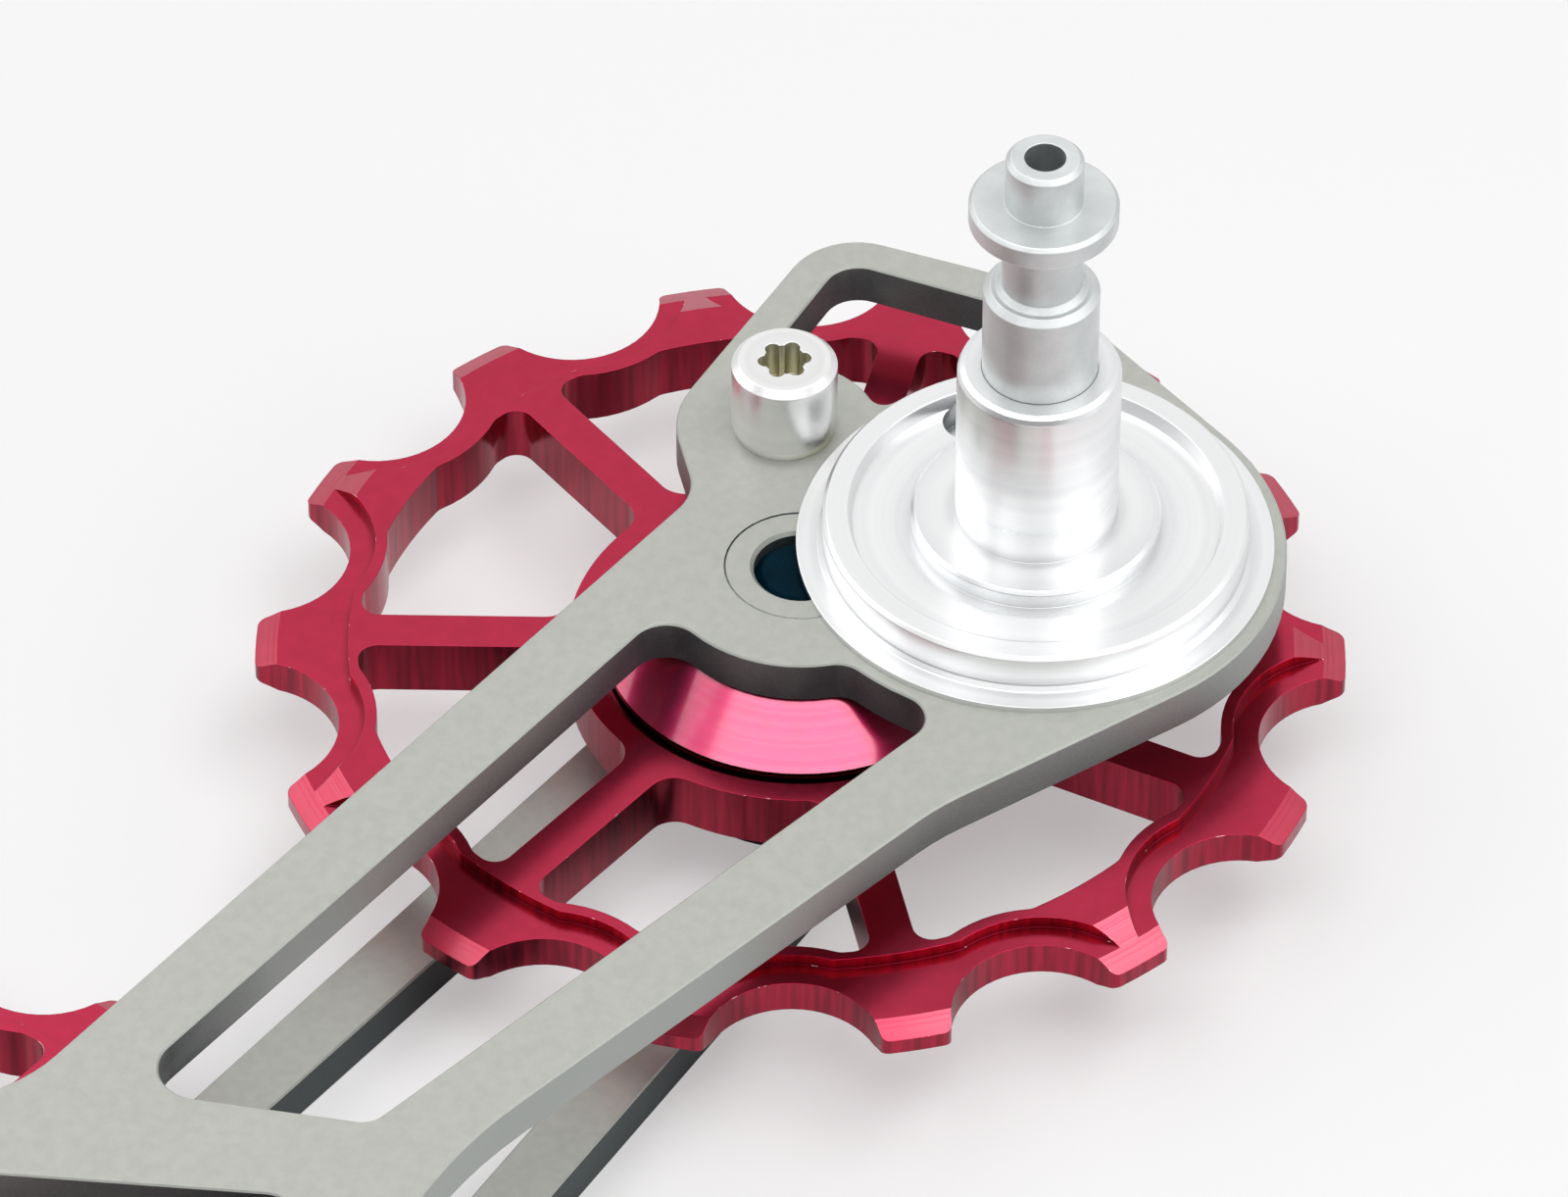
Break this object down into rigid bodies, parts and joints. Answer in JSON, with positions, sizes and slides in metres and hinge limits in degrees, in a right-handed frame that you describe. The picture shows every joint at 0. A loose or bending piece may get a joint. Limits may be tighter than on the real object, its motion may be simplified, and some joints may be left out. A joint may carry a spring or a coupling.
{
  "type": "oversized derailleur pulley cage",
  "caption": "Two-plate bicycle derailleur cage with large narrow-wide toothed wheels on ball bearings, a turned pivot boss with stepped pin, and a stop pin.",
  "frame": {"origin": "pivot axis at the seat at the foot of the pivot boss's barrel", "axes": "+Z along the pivot pin away from the plates, -X along the cage's arms from the pivot end towards the lower wheel"},
  "size_m": [0.1432, 0.0749, 0.0404],
  "materials": {
    "grey_anodise": "bead-blasted warm grey anodise",
    "red_anodise": "satin crimson anodise with fine machining marks",
    "turned_aluminium": "bright turned aluminium",
    "blasted_steel": "matt grey blasted steel",
    "black_steel": "black oxide",
    "bearing_steel": "ground bearing steel",
    "black_rubber": "black seal rubber",
    "dark_plastic": "dark moulded plastic"
  },
  "bodies": {
    "cage": {"outer_plate": "grey_anodise", "inner_plate": "grey_anodise", "pivot_boss": "turned_aluminium", "pivot_pin": "blasted_steel", "stop_pin": "turned_aluminium", "axle_bolts": "black_steel", "axle_nuts": "grey_anodise", "outer_caps": "red_anodise", "inner_caps": "red_anodise", "inner_races": "bearing_steel"},
    "upper_wheel": {"upper_pulley": "red_anodise", "upper_outer_race": "bearing_steel", "upper_seals": "black_rubber"},
    "upper_ball_set": {"upper_balls": "bearing_steel", "upper_retainer": "dark_plastic"},
    "lower_wheel": {"lower_pulley": "red_anodise", "lower_outer_race": "bearing_steel", "lower_seals": "black_rubber"},
    "lower_ball_set": {"lower_balls": "bearing_steel", "lower_retainer": "dark_plastic"}
  },
  "joints": [
    {"name": "upper_wheel_spin", "type": "hinge", "parent": "cage", "child": "upper_wheel", "pos_m": [-0.00877, 0.00865, -0.00945], "axis": [0, 0, 1], "continuous": true},
    {"name": "lower_wheel_spin", "type": "hinge", "parent": "cage", "child": "lower_wheel", "pos_m": [-0.0868, 0.01903, -0.00945], "axis": [0, 0, 1], "continuous": true},
    {"name": "upper_ball_set_spin", "type": "hinge", "parent": "cage", "child": "upper_ball_set", "pos_m": [-0.00877, 0.00865, -0.00945], "axis": [0, 0, 1], "continuous": true},
    {"name": "lower_ball_set_spin", "type": "hinge", "parent": "cage", "child": "lower_ball_set", "pos_m": [-0.0868, 0.01903, -0.00945], "axis": [0, 0, 1], "continuous": true}
  ],
  "couplings": [
    {"joint": "upper_ball_set_spin", "follows": "upper_wheel_spin", "ratio": 0.564},
    {"joint": "lower_ball_set_spin", "follows": "lower_wheel_spin", "ratio": 0.564}
  ]
}
